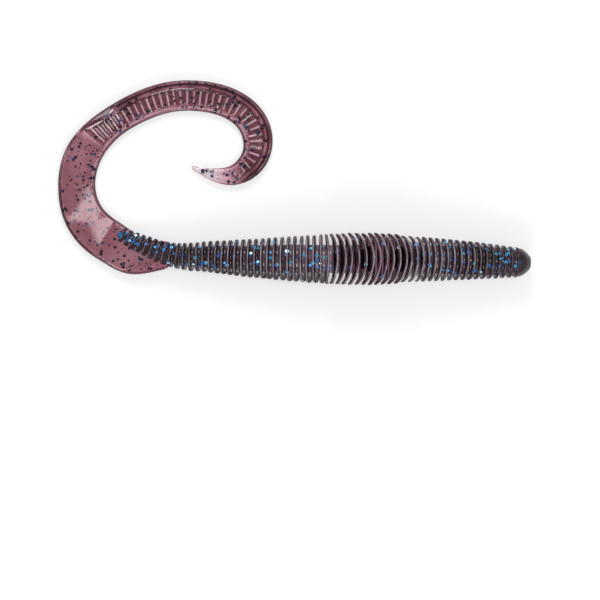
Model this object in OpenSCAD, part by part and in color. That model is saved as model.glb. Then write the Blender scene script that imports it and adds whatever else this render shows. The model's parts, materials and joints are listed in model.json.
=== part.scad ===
// Ribbed soft plastic worm with a ribbon tail, lying flat as it comes out of its bag.
// X runs along the body with the nose at +X, Z is up, and the origin is the centre of the
// small flat at the nose, where a weight or a jig head butts. The moulding is split where it
// bends: in the grooves between rings, and across the tail, each split a ball or a roller
// of the moulding's own thickness in a matching socket.

/* [Nose and core] */
// Length of the smooth domed nose, from its flat to the first ring
nose_l = 3.9; // [3:0.1:6]
// Radius of the flat at the tip of the nose
nose_flat_r = 1.7; // [0.8:0.1:2.2]
// Radius of the solid core between the rings, along the front, the sac and half the rear
core_r = 3.9; // [3:0.05:4.8]
// Radius of the core where the tail begins
core_end_r = 2.55; // [2:0.05:3.2]

/* [Rings] */
// Distance from one ring to the next
ring_pitch = 1.79; // [1.5:0.01:2.4]
// Thickness of a ring at the core
ring_root_t = 0.85; // [0.6:0.01:1]
// Thickness of a ring at its rim
ring_rim_t = 0.46; // [0.3:0.01:0.6]
// Radius of the first ring, behind the nose
ring_nose_r = 4.15; // [4:0.05:5]
// Radius of the last ring ahead of the sac
ring_front_r = 6.35; // [5.5:0.05:7.5]
// Radius of the rings at the middle of the sac
ring_sac_r = 7.15; // [6:0.05:8.5]
// Radius of the first ring behind the sac
ring_rear_r = 6.9; // [5.5:0.05:8]
// Radius of the last ring, at the tail
ring_end_r = 3.6; // [3.3:0.05:4.5]

/* [Lie of the body] */
// How far the tail end of the body lies to the side of the nose
side_drift = 2.1; // [-6:0.1:6]
// Height of the slow wave that the body lies in
side_wave = 0.35; // [0:0.05:1.5]

/* [Tail widths] */
// Width of the tail where it leaves the body
root_w = 7.1; // [6:0.1:9]
// Width of the paddle at its bulge
paddle_w = 11.9; // [9:0.1:14]
// Width of the paddle at its narrow stretch
waist_w = 10.3; // [8:0.1:12]
// Width of the ribbed ribbon
ribbon_w = 8.5; // [6:0.1:10]
// Width at the very end of the tip
tip_w = 0.9; // [0.6:0.1:2]

/* [Tail thickness] */
// Thickness of the flat web of the tail
web_t = 1.2; // [0.8:0.05:1.6]
// Thickness of the bead along the tail's outer edge
rim_t = 2; // [1.4:0.05:2.6]
// Width of the bead along the ribbon's outer edge
rim_w = 2.4; // [1:0.1:3]
// Width of the thin bead along the inner edge, and along the whole paddle
bead_w = 0.6; // [0.4:0.05:1]
// Thickness of the thin bead
bead_t = 1.6; // [1:0.05:2]
// Distance from one cross rib of the ribbon to the next
rib_pitch = 1.8; // [1:0.05:2.4]
// Thickness of a cross rib, along the ribbon
rib_t = 0.8; // [0.3:0.05:1.2]
// Height of a cross rib over the web, on each face
rib_h = 0.25; // [0.1:0.05:0.4]
// Width of the smooth inner band that the cross ribs stop short of
smooth_w = 1.9; // [1.2:0.1:3]

/* [Joints] */
// Gap between a ball or roller and its socket
socket_gap = 0.15; // [0.1:0.01:0.25]
// Largest angle at one joint as the tail opens
open_angle = 30; // [10:1:35]
// Largest angle at one joint as the tail curls tighter
close_angle = 4; // [0:1:8]
// Largest angle at one joint as the tail flaps up or down
flap_angle = 25; // [10:1:30]

/* [Hidden] */
BODY_NODES = ["nose", "front_1", "front_2", "front_3", "sac_1", "sac_2",
              "rear_1", "rear_2", "rear_3", "rear_4", "rear_5", "rear_6"];
TAIL_NODES = ["tail_root", "paddle_1", "paddle_2", "paddle_3", "paddle_4",
              "ribbon_1", "ribbon_2", "ribbon_3", "ribbon_4", "ribbon_5", "ribbon_6",
              "curl_1", "curl_2", "curl_3", "curl_4", "tip"];

BODY_COLOUR = [0.20, 0.13, 0.17];
TAIL_COLOUR = [0.50, 0.27, 0.36];

// Rings on each body piece, nose first.
RING_GROUPS = [6, 4, 4, 4, 5, 5, 4, 4, 4, 4, 4, 5];
BODY_COUNT = len(RING_GROUPS);
RING_COUNT = first_ring(BODY_COUNT);
SAC_FIRST = first_ring(4);
REAR_FIRST = first_ring(6);
// The core tapers over the last half of the rear.
TAPER_FIRST = first_ring(8);

// The tail's middle line is a run of clockwise bends: radius, angle, and pieces.
BENDS = [[40, 28.5, 1], [14.5, 34, 1], [19.5, 81.5, 3], [65, 9.5, 1],
         [30.5, 50.5, 3], [12.3, 55, 2], [9.3, 115, 4], [37, 11.5, 1]];
PIECES = [for (b = BENDS) for (j = [1 : b[2]]) [b[0], b[1] / b[2]]];
TAIL_COUNT = len(PIECES);
ROOT_HEADING = 181;
// The joint ahead of each tail piece: "body" is the ball at the last ring, "side" turns the
// piece within the tail's own plane, and "flap" turns it up and down.
TAIL_JOINTS = ["body", "flap", "side", "side", "flap", "side", "side", "flap",
               "side", "side", "side", "side", "flap", "side", "side", "flap"];
// The ribbed ribbon runs between these two tail pieces.
RIBBED = [5, 13];
// The root's flat starts at this fraction of its length, clear of the last ring of the body.
ROOT_BAND_START = 0.04;
// How far the root's flat bulges to its outer side, midway between its two joints.
ROOT_BULGE = 1.2;
// The core dies out at this fraction of the root's length, this far inside its inner edge.
ROOT_CORE_END = 0.86;
ROOT_CORE_IN = 2.1;
// Radius of the core where it dies out.
ROOT_CORE_R = 0.9;
// Rings that fade out along the root's core, and the radius of the last of them.
ROOT_RINGS = 9;
ROOT_RING_R = 2.1;

// How fast the rings behind the sac grow smaller, and how far the front's swell is bowed.
REAR_FALL = 1.15;
FRONT_BOW = 0.5;
// How full the nose is: 1 is a plain cone, and 2 a parabola.
NOSE_FULLNESS = 1.6;

ARC_STEPS = 8;
SOCKET_FACETS = 64;
// Depth of the bevel on a ring's rim, and its width as a share of that.
RIM_BEVEL = 0.16;
BEVEL_SHARE = 0.7;
// How far a cross rib runs into the bands on both sides of it.
RIB_BITE = 0.05;
// How far a tail piece's round end stands in from the edges of the flat that it continues.
BALL_INSET = 0.05;

function mix(a, b, u) = a + (b - a) * u;
function clamp01(u) = max(0, min(1, u));
function first_ring(i) = i == 0 ? 0 : first_ring(i - 1) + RING_GROUPS[i - 1];

// Outer radius of ring k: a rise to the front, a crowned sac, and a fall to the tail.
function ring_r(k) =
    k < SAC_FIRST ? front_r(k / (SAC_FIRST - 1))
    : k < REAR_FIRST ? sac_r((k - SAC_FIRST) / (REAR_FIRST - SAC_FIRST - 1))
    : mix(ring_rear_r, ring_end_r, rear_u(k));
function rear_u(k) = pow((k - REAR_FIRST) / (RING_COUNT - 1 - REAR_FIRST), REAR_FALL);
function front_r(u) = mix(ring_nose_r, ring_front_r, u + FRONT_BOW * u * (1 - u));
function sac_r(u) = mix(ring_rear_r, ring_sac_r, 1 - pow(2 * u - 1, 2));

// Radius of the core at ring position k, which may lie between two rings.
function core_at(k) =
    mix(core_r, core_end_r, clamp01((k - TAPER_FIRST) / (RING_COUNT - TAPER_FIRST)));

// Mean ring radius of body piece i, which sets how high its middle lies.
function piece_r(i) =
    let (k = first_ring(i), n = RING_GROUPS[i])
    (ring_r(k) + ring_r(k + n - 1)) / 2;

// Hinge i is the centre of the groove ahead of body piece i, and hinge 0 is the nose flat.
BODY_L = nose_l + (RING_COUNT - 0.5) * ring_pitch;
function hinge_s(i) = i == 0 ? 0 : nose_l + (first_ring(i) - 0.5) * ring_pitch;
function hinge_y(i) =
    let (u = hinge_s(i) / BODY_L)
    side_drift * u + side_wave * sin(360 * u);
function hinge_z(i) =
    i == 0 ? 0
    : i == BODY_COUNT ? ring_end_r - ring_nose_r
    : (piece_r(i - 1) + piece_r(i)) / 2 - ring_nose_r;
function hinge(i) = [-hinge_s(i), hinge_y(i), hinge_z(i)];
FLOOR_Z = -ring_nose_r;

// Points of a circle of radius r about [0, c] on the profile plane, from angle a to angle b.
function arc_points(r, c, a, b) =
    [for (j = [0 : ARC_STEPS]) let (t = mix(a, b, j / ARC_STEPS)) [r * cos(t), c + r * sin(t)]];

// One ring's outline, from the core on its nose side to the core on its tail side.
function ring_points(k, at) =
    let (r = ring_r(k), core = core_at(k), root = ring_root_t / 2, rim = ring_rim_t / 2,
         face = rim - RIM_BEVEL * BEVEL_SHARE)
    [[core, at - root], [r - RIM_BEVEL, at - rim], [r, at - face],
     [r, at + face], [r - RIM_BEVEL, at + rim], [core, at + root]];

// Turns the child's own +Z axis from +Z onto the line from a to b, and starts it at a.
module aim(a, b) {
    d = b - a;
    translate(a)
        rotate([0, acos(d[2] / norm(d)), atan2(d[1], d[0])])
            children();
}

// One turned body piece: a ball at its nose end, its rings, and a socket at its tail end.
module body_piece(i) {
    a = hinge(i);
    b = hinge(i + 1);
    long = norm(b - a);
    k0 = first_ring(i);
    n = RING_GROUPS[i];
    start_l = i == 0 ? nose_l - ring_pitch / 2 : 0;
    step = (long - start_l) / n;
    ball = core_at(k0 - 0.5);
    socket = core_at(k0 + n - 0.5) + socket_gap;
    lip = step / 2 - ring_root_t / 2;
    head = i == 0 ? nose_points(start_l) : arc_points(ball, 0, -90, 0);
    rings = [for (j = [0 : n - 1]) each ring_points(k0 + j, start_l + (j + 0.5) * step)];
    ring_end = [for (j = [0 : len(rings) - 2]) rings[j]];
    mouth = acos(lip / socket);
    outline = concat(head, ring_end, arc_points(socket, long, -90 + mouth, -90));
    color(BODY_COLOUR)
        aim(a, b)
            rotate_extrude($fn = SOCKET_FACETS)
                polygon(outline);
}

// The nose: a flat, then a curve that swells quickly at first and runs level into the core.
function nose_points(long) =
    let (rise = core_r - nose_flat_r)
    concat([[0, 0]],
           [for (j = [0 : ARC_STEPS])
               let (u = j / ARC_STEPS)
               [nose_flat_r + rise * (1 - pow(1 - u, NOSE_FULLNESS)), long * u]]);

// The tail's plane is flat: its middle line as a point and a heading at each joint.
function side_of(h) = [sin(h), -cos(h)];
function tail_heading(j) = j == 0 ? ROOT_HEADING : tail_heading(j - 1) - PIECES[j - 1][1];
function tail_start(j) = j == 0 ? ROOT_START : on_tail(j - 1, 1, 0);
// Point at fraction u of tail piece j, a distance v to the inner side of the middle line.
function on_tail(j, u, v) =
    let (r = PIECES[j][0], h = tail_heading(j), centre = tail_start(j) + r * side_of(h))
    centre - (r - v) * side_of(h - u * PIECES[j][1]);
function tail_s(j, u) = (j == 0 ? 0 : tail_s(j - 1, 1)) + u * PIECES[j][0] * PIECES[j][1] * PI / 180;

// The root slopes from the height of the last hinge down to the tail's plane: it is turned by
// ROOT_TILT about the roller at its far end, so it starts as much further back as that takes.
TAIL_Z = FLOOR_Z + rim_t / 2;
BODY_END = [hinge(BODY_COUNT)[0], hinge(BODY_COUNT)[1]];
ROOT_R = PIECES[0][0];
ROOT_TURN = PIECES[0][1];
ROOT_REACH = ROOT_R * sin(ROOT_TURN);
ROOT_TILT = asin((hinge_z(BODY_COUNT) - TAIL_Z) / ROOT_REACH);
ROOT_DOWN = [cos(ROOT_HEADING - ROOT_TURN), sin(ROOT_HEADING - ROOT_TURN)];
ROOT_START = BODY_END - ROOT_REACH * (1 - cos(ROOT_TILT)) * ROOT_DOWN;

// Width of the tail against the fraction of its length.
TAIL_L = tail_s(TAIL_COUNT - 1, 1);
WIDTHS = [[0, root_w], [0.05, mix(root_w, paddle_w, 0.4)], [0.1, paddle_w], [0.17, paddle_w],
          [0.28, waist_w], [0.35, waist_w], [0.45, ribbon_w], [0.8, ribbon_w],
          [0.87, ribbon_w * 0.84], [0.94, ribbon_w * 0.5], [1, tip_w]];
function half_w(j, u) = lookup(tail_s(j, u) / TAIL_L, WIDTHS) / 2;

// How far the middle of the flat lies to the inner side of the middle line.
function shift(j, u) = j == 0 ? -ROOT_BULGE * pow(sin(180 * u), 2) : 0;

// Outline of a band along tail piece j between two lines, each given as a share of the half
// width (-1 is the outer edge, 1 the inner) and a distance added to it.
function band(j, low, high) =
    let (from = j == 0 ? ROOT_BAND_START : 0,
         there = [for (q = [0 : ARC_STEPS]) mix(from, 1, q / ARC_STEPS)],
         back = [for (q = [ARC_STEPS : -1 : 0]) mix(from, 1, q / ARC_STEPS)])
    concat([for (u = there) on_tail(j, u, low[0] * half_w(j, u) + low[1] + shift(j, u))],
           [for (u = back) on_tail(j, u, high[0] * half_w(j, u) + high[1] + shift(j, u))]);

// Draws its children at the joint ahead of tail piece j, with +X along the tail.
module at_joint(j) {
    p = tail_start(j);
    translate([p[0], p[1], TAIL_Z])
        rotate([0, 0, tail_heading(j)])
            children();
}

// A slab of the band outline, centred on the tail's plane.
module slab(j, low, high, thick) {
    translate([0, 0, TAIL_Z])
        linear_extrude(height = thick, center = true)
            polygon(band(j, low, high));
}

// The round end of tail piece j, which turns in the socket of the piece ahead of it.
module tail_ball(j) {
    wide = half_w(j, 0) - BALL_INSET;
    roller_r = rim_t / 2 - BALL_INSET;
    if (TAIL_JOINTS[j] == "side")
        at_joint(j)
            cylinder(h = web_t, r = wide, center = true, $fn = SOCKET_FACETS);
    if (TAIL_JOINTS[j] == "flap")
        at_joint(j)
            rotate([90, 0, 0])
                cylinder(h = 2 * wide, r = roller_r, center = true, $fn = SOCKET_FACETS);
}

// What tail piece j - 1 gives up so that piece j can turn.
module tail_socket(j) {
    wide = half_w(j, 0);
    reach = wide * 3;
    if (TAIL_JOINTS[j] == "side")
        at_joint(j) {
            cylinder(h = reach, r = wide + socket_gap, center = true, $fn = SOCKET_FACETS);
            horn(wide, open_angle, 0);
            horn(wide, close_angle, -reach);
        }
    if (TAIL_JOINTS[j] == "flap")
        at_joint(j) {
            rotate([90, 0, 0])
                cylinder(h = reach, r = rim_t / 2 + socket_gap, center = true, $fn = SOCKET_FACETS);
            back = rim_t / 2 * sin(flap_angle) + socket_gap;
            translate([-back, -reach / 2, -reach / 2])
                cube([reach, reach, reach]);
        }
}

// Cuts one corner of a socket back, on the outer side from y = 0 or the inner from y = -reach.
module horn(wide, angle, from_y) {
    reach = wide * 3;
    back = wide * sin(angle) + socket_gap;
    translate([-back, from_y, -reach / 2])
        cube([reach, reach, reach]);
}

// Cross ribs of the ribbon's middle band, standing over both faces of the web.
module cross_ribs(j) {
    long = tail_s(j, 1) - tail_s(j, 0);
    n = round(long / rib_pitch);
    for (q = [0.5 : 1 : n]) {
        u = q / n;
        low = -half_w(j, u) + rim_w;
        high = half_w(j, u) - smooth_w;
        if (high - low > rib_t) {
            p = on_tail(j, u, (low + high) / 2);
            translate([p[0], p[1], TAIL_Z])
                rotate([0, 0, tail_heading(j) - u * PIECES[j][1]])
                    cube([rib_t, high - low + 2 * RIB_BITE, web_t + 2 * rib_h], center = true);
        }
    }
}

// The flat of one piece of the tail: web, beads and ribs.
module tail_flat(j) {
    ribbed = j >= RIBBED[0] && j <= RIBBED[1];
    slab(j, [-1, 0], [1, 0], web_t);
    slab(j, [-1, 0], ribbed ? [-1, rim_w] : [-1, bead_w], rim_t);
    slab(j, [1, -bead_w], [1, 0], bead_t);
    if (ribbed)
        cross_ribs(j);
}

// One piece of the tail, with its round end and its socket.
module tail_piece(j) {
    color(TAIL_COLOUR)
        difference() {
            union() {
                tail_flat(j);
                tail_ball(j);
            }
            if (j < TAIL_COUNT - 1)
                tail_socket(j + 1);
        }
}

// Turns what lies on the tail's plane about the roller at the root's far end, so that the
// root's start comes up to the last hinge of the body.
module root_tilt() {
    p = tail_start(1);
    axis = side_of(tail_heading(1));
    translate([p[0], p[1], TAIL_Z])
        rotate(a = -ROOT_TILT, v = [axis[0], axis[1], 0])
            translate([-p[0], -p[1], -TAIL_Z])
                children();
}

// The core's last stretch: a ball in the last ring's socket and a cone that runs down the
// inner side of the root, with rings that grow lower and narrower until they fade out. The
// rings turn with the tail, from its heading at the body to its heading behind the root.
module root_core() {
    start = tail_start(0);
    finish = on_tail(0, ROOT_CORE_END, half_w(0, ROOT_CORE_END) - ROOT_CORE_IN);
    run = finish - start;
    long = norm(run);
    ball = core_at(RING_COUNT - 0.5);
    outline = concat(arc_points(ball, 0, -90, 0), [[ROOT_CORE_R, long], [0, long]]);
    translate([start[0], start[1], TAIL_Z])
        rotate([0, 90, atan2(run[1], run[0])])
            rotate_extrude($fn = SOCKET_FACETS)
                polygon(outline);
    for (k = [0 : ROOT_RINGS - 1])
        root_ring(start + run * ((k + 0.5) * ring_pitch / long), k / (ROOT_RINGS - 1));
}

// One fading ring around p, a disc with its top and bottom cut level.
module root_ring(p, u) {
    r = mix(ring_end_r, ROOT_RING_R, u);
    tall = mix(ring_end_r, rim_t / 2, u);
    translate([p[0], p[1], TAIL_Z])
        rotate([0, 90, mix(ROOT_HEADING, tail_heading(1), u)])
            intersection() {
                cylinder(h = ring_rim_t, r = r, center = true, $fn = SOCKET_FACETS);
                cube([2 * tall, 3 * ring_end_r, ring_pitch], center = true);
            }
}

module tail_root() {
    color(TAIL_COLOUR)
        root_tilt()
            difference() {
                union() {
                    tail_flat(0);
                    root_core();
                }
                tail_socket(1);
            }
}

for (i = [0 : BODY_COUNT - 1])
    body_piece(i);
tail_root();
for (j = [1 : TAIL_COUNT - 1])
    tail_piece(j);
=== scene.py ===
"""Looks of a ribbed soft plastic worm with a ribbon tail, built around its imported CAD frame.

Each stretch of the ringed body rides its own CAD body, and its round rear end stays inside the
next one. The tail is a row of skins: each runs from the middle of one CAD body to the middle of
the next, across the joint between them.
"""

import json
import logging
import math
from dataclasses import dataclass, field
from enum import Enum

import bpy
import numpy as np
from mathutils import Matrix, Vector

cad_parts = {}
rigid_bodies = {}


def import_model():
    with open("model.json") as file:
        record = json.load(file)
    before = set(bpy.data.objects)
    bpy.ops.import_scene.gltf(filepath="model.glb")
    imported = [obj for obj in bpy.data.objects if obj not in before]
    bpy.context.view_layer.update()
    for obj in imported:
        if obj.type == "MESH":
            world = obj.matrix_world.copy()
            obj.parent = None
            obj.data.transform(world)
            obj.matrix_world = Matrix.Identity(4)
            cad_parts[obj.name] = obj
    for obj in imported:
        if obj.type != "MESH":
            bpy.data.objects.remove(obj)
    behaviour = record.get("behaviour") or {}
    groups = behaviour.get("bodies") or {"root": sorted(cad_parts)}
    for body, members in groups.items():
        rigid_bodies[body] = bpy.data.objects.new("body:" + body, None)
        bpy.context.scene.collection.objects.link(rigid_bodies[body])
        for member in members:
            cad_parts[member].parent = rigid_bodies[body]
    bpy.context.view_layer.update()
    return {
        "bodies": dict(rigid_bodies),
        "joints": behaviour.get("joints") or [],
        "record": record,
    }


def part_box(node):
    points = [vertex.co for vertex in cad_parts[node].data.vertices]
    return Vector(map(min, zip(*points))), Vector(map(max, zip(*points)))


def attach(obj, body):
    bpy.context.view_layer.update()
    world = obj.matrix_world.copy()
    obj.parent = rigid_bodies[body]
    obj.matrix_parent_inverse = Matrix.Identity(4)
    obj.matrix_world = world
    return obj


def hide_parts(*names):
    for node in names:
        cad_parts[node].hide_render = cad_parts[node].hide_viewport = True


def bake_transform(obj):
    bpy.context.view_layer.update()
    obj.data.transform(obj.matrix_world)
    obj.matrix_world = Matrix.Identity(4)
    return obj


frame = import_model()

MM = 0.001
SEED = 20
log = logging.getLogger("worm")


class Slot(Enum):
    """The record's material slots."""

    BODY = "body_plastisol"
    TAIL = "tail_plastisol"


def linear(hex_colour: str) -> tuple[float, float, float, float]:
    """Turns an sRGB hex colour to linear RGBA.

    Args:
        hex_colour: six hex digits after a hash.

    Returns:
        Linear red, green and blue, and an alpha of 1.
    """
    parts = [int(hex_colour[i : i + 2], 16) / 255 for i in (1, 3, 5)]
    red, green, blue = (c / 12.92 if c <= 0.04045 else ((c + 0.055) / 1.055) ** 2.4 for c in parts)
    return (red, green, blue, 1.0)


def smooth(low: float, high: float, x: np.ndarray) -> np.ndarray:
    """A smooth step: 0 up to low, 1 from high, and 3t^2 - 2t^3 of the share between them.

    Args:
        low: where the step starts.
        high: where it ends.
        x: the values to step.

    Returns:
        The step at each value.
    """
    t = np.clip((np.asarray(x, float) - low) / (high - low), 0, 1)
    return t * t * (3 - 2 * t)


def bell(x: np.ndarray, middle: float | np.ndarray, width: float) -> np.ndarray:
    """A bell curve, 1 at its middle: e to the minus square of the distance over the width."""
    return np.exp(-(((x - middle) / width) ** 2))


def rounded(x: np.ndarray) -> np.ndarray:
    """A quarter circle's height: 0 at 0, and 1 from 1 on."""
    return np.sqrt(np.clip(1 - (1 - np.clip(x, 0, 1)) ** 2, 0, 1))


def waves(x: np.ndarray, length: float, seed: int) -> np.ndarray:
    """A slow random-looking ripple: three sines of unrelated lengths and phases, from -1 to 1.

    Args:
        x: distance along the piece, in mm.
        length: the longest wave, in mm.
        seed: which ripple.

    Returns:
        The ripple at each distance.
    """
    phase = np.random.default_rng(seed).uniform(0, 2 * math.pi, 3)
    turns = 2 * math.pi * np.asarray(x, float) / length
    total = np.sin(turns + phase[0]) + 0.6 * np.sin(1.73 * turns + phase[1])
    return (total + 0.4 * np.sin(2.91 * turns + phase[2])) / 2


class Spine:
    """A smooth line through given points: a natural cubic spline over the chord length."""

    def __init__(self, points: np.ndarray) -> None:
        """Solves the spline's slopes.

        Args:
            points: the points in mm, one a row.
        """
        self.points = np.asarray(points, float)
        steps = np.linalg.norm(np.diff(self.points, axis=0), axis=1)
        self.knots = np.concatenate([[0], np.cumsum(steps)])
        n = len(self.points)
        a = np.zeros((n, n))
        b = np.zeros((n, 3))
        inner = np.arange(1, n - 1)
        a[inner, inner - 1] = steps[1:]
        a[inner, inner] = 2 * (steps[:-1] + steps[1:])
        a[inner, inner + 1] = steps[:-1]
        rise = np.diff(self.points, axis=0) / steps[:, None]
        b[1:-1] = 3 * (steps[1:, None] * rise[:-1] + steps[:-1, None] * rise[1:])
        a[0, :2] = [2, 1]
        b[0] = 3 * rise[0]
        a[-1, -2:] = [1, 2]
        b[-1] = 3 * rise[-1]
        self.slopes = np.linalg.solve(a, b)

    @property
    def length(self) -> float:
        """The last knot's distance."""
        return float(self.knots[-1])

    def at(self, s: np.ndarray) -> tuple[np.ndarray, np.ndarray]:
        """Points and unit tangents at distances along the line.

        Each span is the Hermite cubic between its two knots, carried on straight past the ends.

        Args:
            s: distances in mm.

        Returns:
            The points and the tangents, one a row.
        """
        s = np.asarray(s, float)
        inside = np.clip(s, 0, self.length)
        i = np.clip(np.searchsorted(self.knots, inside, side="right") - 1, 0, len(self.knots) - 2)
        h = (self.knots[i + 1] - self.knots[i])[..., None]
        t = (inside - self.knots[i])[..., None] / h
        p, q, m, k = self.points[i], self.points[i + 1], self.slopes[i] * h, self.slopes[i + 1] * h
        point = (2 * t**3 - 3 * t**2 + 1) * p + (t**3 - 2 * t**2 + t) * m
        point = point + (3 * t**2 - 2 * t**3) * q + (t**3 - t**2) * k
        slope = (6 * t**2 - 6 * t) * (p - q) + (3 * t**2 - 4 * t + 1) * m + (3 * t**2 - 2 * t) * k
        tangent = slope / np.linalg.norm(slope, axis=-1, keepdims=True)
        return point + tangent * (s - inside)[..., None], tangent

    def frames(self, s: np.ndarray) -> tuple[np.ndarray, np.ndarray, np.ndarray, np.ndarray]:
        """Points with a level side direction, an up direction and the tangent.

        The side is the level direction to the right of the travel, and up completes the three.

        Args:
            s: distances in mm.

        Returns:
            Points, sides, ups and tangents, one a row.
        """
        point, tangent = self.at(s)
        side = np.stack([tangent[..., 1], -tangent[..., 0], np.zeros(tangent.shape[:-1])], axis=-1)
        side /= np.linalg.norm(side, axis=-1, keepdims=True)
        return point, side, np.cross(side, tangent), tangent


@dataclass
class Chain:
    """The CAD bodies from nose to tip, and the joint between each and the next, in mm."""

    bodies: list[str] = field(default_factory=list)
    hinges: list[np.ndarray] = field(default_factory=list)

    @classmethod
    def read(cls) -> "Chain":
        """Follows the record's joints from the body that is nobody's child.

        Returns:
            The chain.
        """
        joints = {j["parent"]: j for j in frame["joints"]}
        children = {j["child"] for j in frame["joints"]}
        name = next(b for b in frame["bodies"] if b not in children)
        chain = cls(bodies=[name])
        while name in joints:
            chain.hinges.append(np.array(joints[name]["pos_m"]) / MM)
            name = joints[name]["child"]
            chain.bodies.append(name)
        return chain

    def nose(self) -> np.ndarray:
        """The centre of the nose flat."""
        return np.array(frame["record"]["mounts"][0]["pos_m"]) / MM

    def tail_end(self) -> np.ndarray:
        """The tail's very end: the tip's far corner, at the height of its joint."""
        low, high = (np.array(c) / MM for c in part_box(self.bodies[-1]))
        return np.array([low[0] + 0.15, high[1] - 0.45, self.hinges[-1][2]])


@dataclass
class Mesh:
    """A mesh in the making: points in mm, faces, per-point values, and each face's finish."""

    points: np.ndarray
    faces: list[np.ndarray]
    values: dict[str, np.ndarray] = field(default_factory=dict)
    round_faces: bool = True
    which: np.ndarray | None = None

    def build(self, name: str, *materials: bpy.types.Material) -> bpy.types.Object:
        """Puts the arrays into a Blender object at the origin.

        Args:
            name: the piece's name.
            materials: its finishes, in the order that `which` numbers them.

        Returns:
            The object.
        """
        data = bpy.data.meshes.new(name)
        faces = [f for group in self.faces for f in group.tolist()]
        data.from_pydata((self.points * MM).tolist(), [], faces)
        data.polygons.foreach_set("use_smooth", np.full(len(faces), self.round_faces))
        for key, value in self.values.items():
            data.attributes.new(key, "FLOAT", "POINT").data.foreach_set("value", value.astype(np.float32))
        for material in materials:
            data.materials.append(material)
        if self.which is not None:
            data.polygons.foreach_set("material_index", self.which.astype(np.int32))
        data.update()
        piece = bpy.data.objects.new(name, data)
        bpy.context.scene.collection.objects.link(piece)
        return piece


def tube_faces(rows: int, around: int) -> np.ndarray:
    """Quads of a closed tube whose points are rows of the same number of points.

    Point (i, j) is i * around + j, and j wraps round.

    Args:
        rows: the number of rows.
        around: points in a row.

    Returns:
        Four point numbers a face.
    """
    i, j = np.meshgrid(np.arange(rows - 1), np.arange(around), indexing="ij")
    k = (j + 1) % around
    quads = np.stack([i * around + j, i * around + k, (i + 1) * around + k, (i + 1) * around + j], axis=-1)
    return quads.reshape(-1, 4)


def flakes_mesh(
    centre: np.ndarray, normal: np.ndarray, size: np.ndarray, thick: float, turn: np.ndarray
) -> Mesh:
    """Thin six-sided plates: a hexagon round each centre, across its normal, and the same below.

    Args:
        centre: centres in mm, one a row.
        normal: unit normals.
        size: corner-to-corner size of each, in mm.
        thick: thickness in mm.
        turn: how far each is turned about its normal, in radians.

    Returns:
        The mesh, with a value "flake" that is different for each plate.
    """
    count = len(centre)
    helper = np.where(np.abs(normal[:, 2:3]) < 0.9, [[0, 0, 1.0]], [[1.0, 0, 0]])
    a = np.cross(normal, helper)
    a /= np.linalg.norm(a, axis=1, keepdims=True)
    b = np.cross(normal, a)
    angle = turn[:, None] + np.arange(6) * math.pi / 3
    rim = np.cos(angle)[..., None] * a[:, None] + np.sin(angle)[..., None] * b[:, None]
    rim = rim * (size / 2)[:, None, None]
    lift = normal[:, None] * thick / 2
    plates = [centre[:, None] + rim + lift, centre[:, None] + rim - lift]
    points = np.concatenate(plates, axis=1).reshape(-1, 3)
    base = np.arange(count)[:, None] * 12
    top = base + np.arange(6)
    bottom = base + np.arange(11, 5, -1)
    j = np.arange(6)
    walls = np.stack([j, j + 6, (j + 1) % 6 + 6, (j + 1) % 6], axis=-1)[None] + base[..., None]
    tone = np.repeat(np.random.default_rng(count).uniform(0, 1, count), 12)
    return Mesh(points, [top, bottom, walls.reshape(-1, 4)], {"flake": tone}, round_faces=False)


class Nodes:
    """A material's node tree, built with one function."""

    def __init__(self, name: str) -> None:
        """Starts an empty tree with its output.

        Args:
            name: the material's name.
        """
        self.material = bpy.data.materials.new(name)
        self.material.use_nodes = True
        self.tree = self.material.node_tree
        self.tree.nodes.clear()
        self.output = self.tree.nodes.new("ShaderNodeOutputMaterial")

    def add(
        self,
        kind: str,
        inputs: dict[str | int, object] | None = None,
        stops: tuple[tuple[float, str], ...] = (),
        out: str | int = 0,
        **settings: str,
    ) -> bpy.types.NodeSocket:
        """Adds a node with its links and settings.

        Args:
            kind: the node's type.
            inputs: values or other nodes' outputs, by the input's name or number.
            stops: a colour ramp's places and sRGB hex colours.
            out: the output to give back, by name or number.
            settings: attributes of the node.

        Returns:
            That output.
        """
        node = self.tree.nodes.new(kind)
        for key, value in settings.items():
            setattr(node, key, value)
        for key, value in (inputs or {}).items():
            if isinstance(value, bpy.types.NodeSocket):
                self.tree.links.new(value, node.inputs[key])
            else:
                node.inputs[key].default_value = value
        for i, (place, colour) in enumerate(stops):
            elements = node.color_ramp.elements
            item = elements[i] if i < len(elements) else elements.new(place)
            item.position = place
            item.color = linear(colour)
        return node.outputs[out]

    def finish(self, shader: bpy.types.NodeSocket) -> bpy.types.Material:
        """Joins the shader to the output and returns the material."""
        self.tree.links.new(shader, self.output.inputs["Surface"])
        return self.material


MULTIPLY = {"data_type": "RGBA", "blend_type": "MULTIPLY"}


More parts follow.
